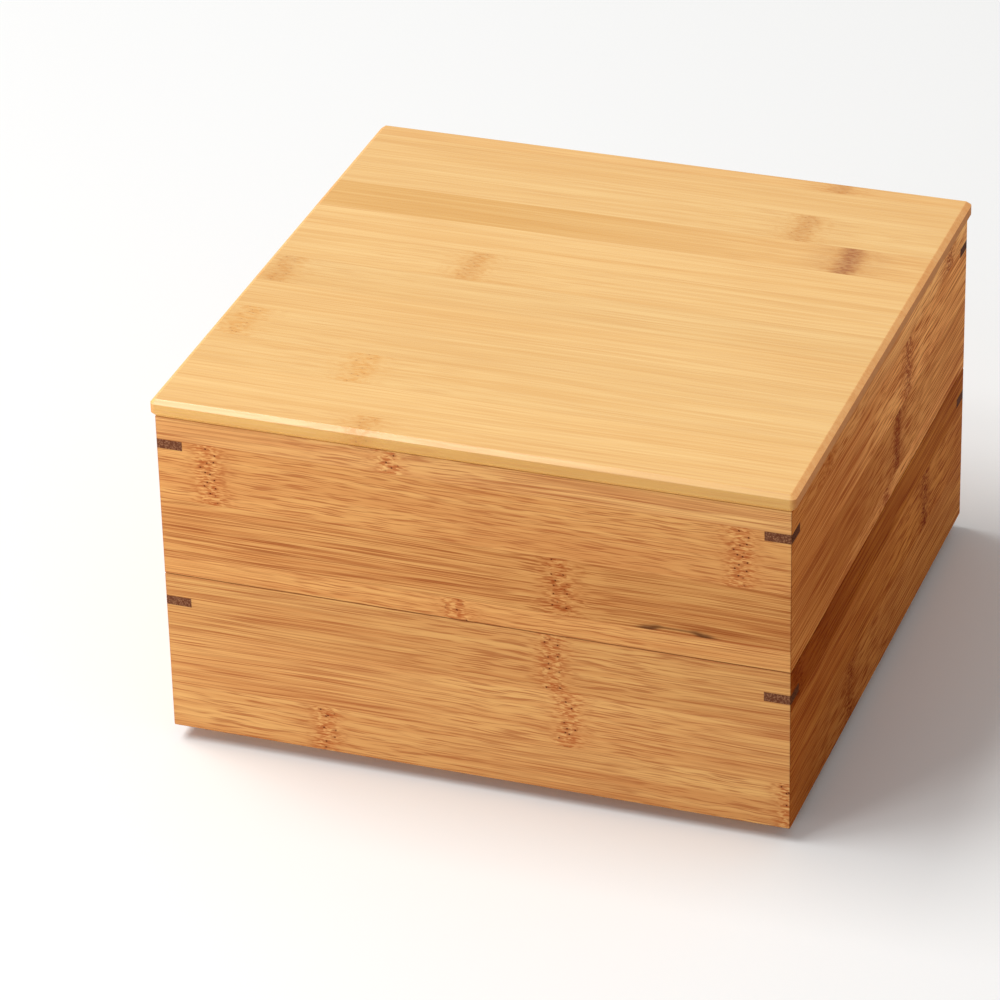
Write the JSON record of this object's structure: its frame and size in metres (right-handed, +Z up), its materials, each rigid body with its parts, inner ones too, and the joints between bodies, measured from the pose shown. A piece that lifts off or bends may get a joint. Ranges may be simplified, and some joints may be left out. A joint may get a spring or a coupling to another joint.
{
  "type": "two-tier bento box",
  "caption": "Square stacking food box of laminated bamboo: mitred trays with dark corner keys that nest on each other, under a flat lift-off lid.",
  "frame": {"origin": "on the table, under the middle of the box", "axes": "+Z up, the way the lid and the upper tier lift off; the front looks along -Y, +X is to the right seen from the front"},
  "size_m": [0.21, 0.21, 0.125],
  "materials": {
    "bamboo_lid": "satin clear-coated bamboo, pale honey",
    "bamboo_wall": "satin clear-coated bamboo, amber",
    "bamboo_floor": "satin clear-coated bamboo",
    "bamboo_strip": "satin clear-coated bamboo",
    "smoked_key": "smoked dark bamboo, end grain showing"
  },
  "bodies": {
    "lower_tier": {"lower_front_wall": "bamboo_wall", "lower_right_wall": "bamboo_wall", "lower_back_wall": "bamboo_wall", "lower_left_wall": "bamboo_wall", "lower_floor_panel": "bamboo_floor", "lower_corner_key_front_right": "smoked_key", "lower_corner_key_back_right": "smoked_key", "lower_corner_key_back_left": "smoked_key", "lower_corner_key_front_left": "smoked_key", "lower_stacking_strip_front": "bamboo_strip", "lower_stacking_strip_right": "bamboo_strip", "lower_stacking_strip_back": "bamboo_strip", "lower_stacking_strip_left": "bamboo_strip"},
    "upper_tier": {"upper_front_wall": "bamboo_wall", "upper_right_wall": "bamboo_wall", "upper_back_wall": "bamboo_wall", "upper_left_wall": "bamboo_wall", "upper_floor_panel": "bamboo_floor", "upper_corner_key_front_right": "smoked_key", "upper_corner_key_back_right": "smoked_key", "upper_corner_key_back_left": "smoked_key", "upper_corner_key_front_left": "smoked_key", "upper_stacking_strip_front": "bamboo_strip", "upper_stacking_strip_right": "bamboo_strip", "upper_stacking_strip_back": "bamboo_strip", "upper_stacking_strip_left": "bamboo_strip"},
    "lid": {"lid_panel": "bamboo_lid", "lid_locating_strip_front": "bamboo_strip", "lid_locating_strip_right": "bamboo_strip", "lid_locating_strip_back": "bamboo_strip", "lid_locating_strip_left": "bamboo_strip"}
  },
  "joints": [
    {"name": "upper_tier_lift", "type": "slide", "parent": "lower_tier", "child": "upper_tier", "axis": [0, 0, 1], "range_m": [0, 0.12]},
    {"name": "lid_lift", "type": "slide", "parent": "upper_tier", "child": "lid", "axis": [0, 0, 1], "range_m": [0, 0.12]}
  ]
}
